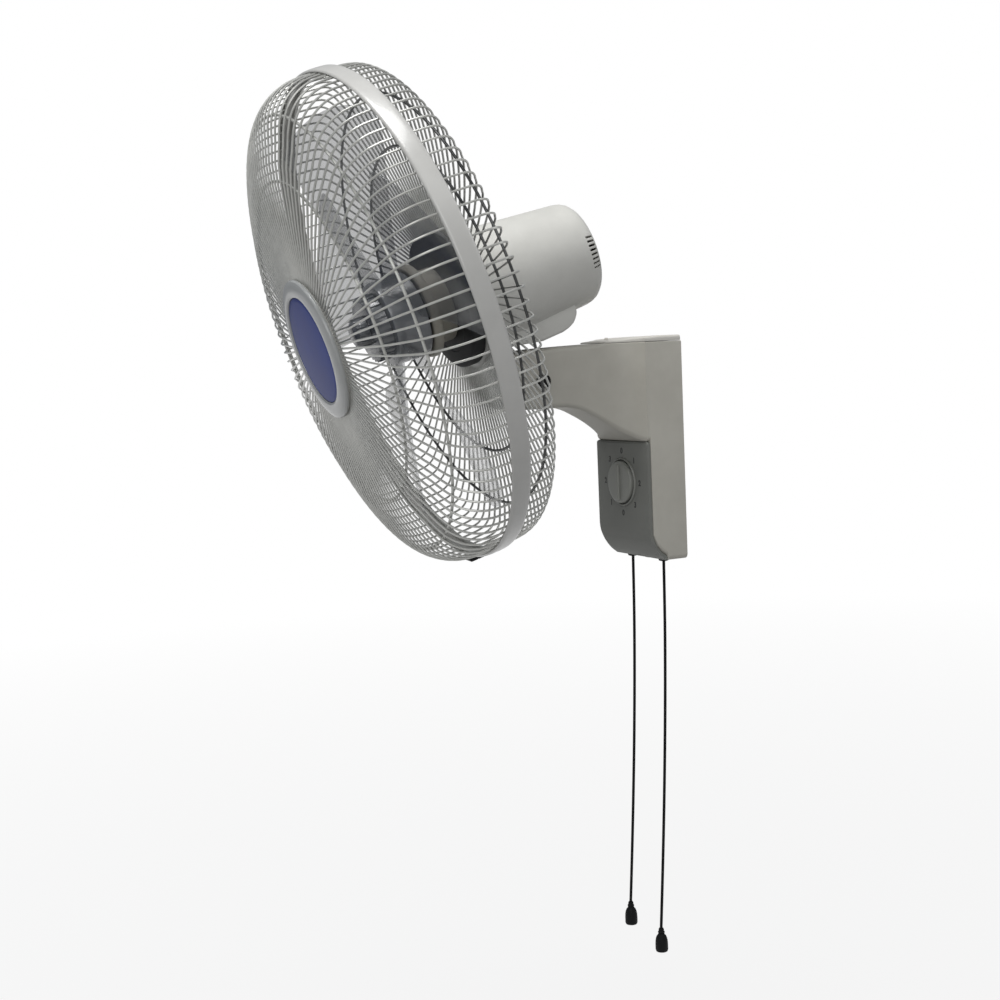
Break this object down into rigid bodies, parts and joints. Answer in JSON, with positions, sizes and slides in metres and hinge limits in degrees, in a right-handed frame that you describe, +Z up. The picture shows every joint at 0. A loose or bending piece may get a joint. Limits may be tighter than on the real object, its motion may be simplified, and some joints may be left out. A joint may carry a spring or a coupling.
{
  "type": "wall mounted fan",
  "caption": "Wall-mounted fan: a base box and arm carry a tilting, oscillating motor head with smoky blades in a round wire guard, a speed dial on the base and pull cords below it.",
  "frame": {"origin": "middle of the wall plate's back, on the wall's surface", "axes": "+Z up, +Y into the wall, -Y out into the room the way the fan faces, +X to the right of a person who looks at the wall"},
  "size_m": [0.45, 0.3847, 0.8417],
  "materials": {
    "body_plastic": "satin warm grey moulded plastic",
    "cover_plastic": "satin warm grey moulded plastic",
    "fascia_plastic": "matt dark grey moulded plastic",
    "dial_plastic": "satin mid grey moulded plastic",
    "motor_plastic": "satin light grey moulded plastic",
    "rim_plastic": "smooth light grey moulded plastic",
    "wire_paint": "light grey powder-coated wire",
    "dark_wire": "dark grey powder-coated wire",
    "blade_plastic": "smoky translucent moulded plastic",
    "dark_plastic": "black moulded plastic",
    "cord_nylon": "black braided nylon",
    "bezel_silver": "glossy silver lacquer on plastic",
    "badge_blue": "glossy blue plastic",
    "steel": "zinc-plated steel",
    "stator_copper": "enamelled copper winding",
    "gear_brass": "machined brass",
    "cream_plastic": "satin cream moulded plastic"
  },
  "bodies": {
    "wall_mount": {"wall_plate": "steel", "wall_screw_upper": "steel", "wall_screw_lower": "steel", "body_shell": "body_plastic", "top_cover": "cover_plastic", "control_fascia": "fascia_plastic", "dial_bezel": "dial_plastic", "speed_switch": "dark_plastic", "run_capacitor": "dark_plastic", "terminal_block": "cream_plastic", "lead_inlet": "dark_plastic", "cord_eyelet_speed": "dark_plastic", "cord_eyelet_swing": "dark_plastic", "pull_switch_speed": "cream_plastic", "pull_switch_swing": "cream_plastic", "tilt_bolt": "steel", "tilt_bolt_cap": "dark_plastic", "tilt_nut": "steel"},
    "speed_dial": {"dial_knob": "dial_plastic", "dial_shaft": "steel"},
    "speed_pull": {"switch_lever_speed": "cord_nylon", "pull_cord_speed": "cord_nylon", "cord_bell_speed": "dark_plastic"},
    "swing_pull": {"switch_lever_swing": "cord_nylon", "pull_cord_swing": "cord_nylon", "cord_bell_swing": "dark_plastic"},
    "tilt_yoke": {"tilt_bracket": "motor_plastic", "neck_washer": "dark_plastic", "pivot_pin": "steel"},
    "fan_head": {"motor_casing": "motor_plastic", "motor_front_cover": "dark_plastic", "front_bearing": "steel", "rear_bearing": "steel", "stator": "stator_copper", "gear_plate": "steel", "front_guard": "wire_paint", "front_ring_outer": "wire_paint", "front_ring_inner": "wire_paint", "badge_bezel": "bezel_silver", "badge_disc": "badge_blue", "rear_guard": "wire_paint", "rear_ring_outer": "dark_wire", "rear_ring_inner": "dark_wire", "guard_nut": "body_plastic", "guard_clamp": "dark_plastic", "rim_band": "rim_plastic", "rim_clamp": "dark_plastic"},
    "blade_rotor": {"rotor": "steel", "motor_shaft": "steel", "drive_pin": "steel", "fan_blade": "blade_plastic", "spinner_nut": "blade_plastic"},
    "oscillating_gear": {"worm_wheel": "gear_brass"}
  },
  "joints": [
    {"name": "dial_turn", "type": "hinge", "parent": "wall_mount", "child": "speed_dial", "pos_m": [0, -0.0426, -0.0318], "axis": [0, 1, 0], "continuous": true},
    {"name": "speed_cord_pull", "type": "slide", "parent": "wall_mount", "child": "speed_pull", "axis": [0, 0, -1], "range_m": [0, 0.011], "stiffness_N_per_m": 180, "springref_m": -0.005},
    {"name": "swing_cord_pull", "type": "slide", "parent": "wall_mount", "child": "swing_pull", "axis": [0, 0, -1], "range_m": [0, 0.011], "stiffness_N_per_m": 180, "springref_m": -0.005},
    {"name": "head_tilt", "type": "hinge", "parent": "wall_mount", "child": "tilt_yoke", "pos_m": [0, -0.14, 0.0695], "axis": [1, 0, 0], "range_deg": [-17, 8]},
    {"name": "head_swing", "type": "hinge", "parent": "tilt_yoke", "child": "fan_head", "pos_m": [0, -0.19728, 0.15317], "axis": [0, -0.3034, 0.9529], "range_deg": [-39.7, 50.3]},
    {"name": "blade_spin", "type": "hinge", "parent": "fan_head", "child": "blade_rotor", "pos_m": [-0.00801, -0.27945, 0.12701], "axis": [-0.0925, -0.9488, -0.3021], "continuous": true},
    {"name": "gear_turn", "type": "hinge", "parent": "fan_head", "child": "oscillating_gear", "pos_m": [0.02338, -0.13676, 0.17243], "axis": [0, -0.3034, 0.9529], "continuous": true}
  ],
  "couplings": [
    {"joint": "gear_turn", "follows": "blade_spin", "ratio": 0.02}
  ]
}
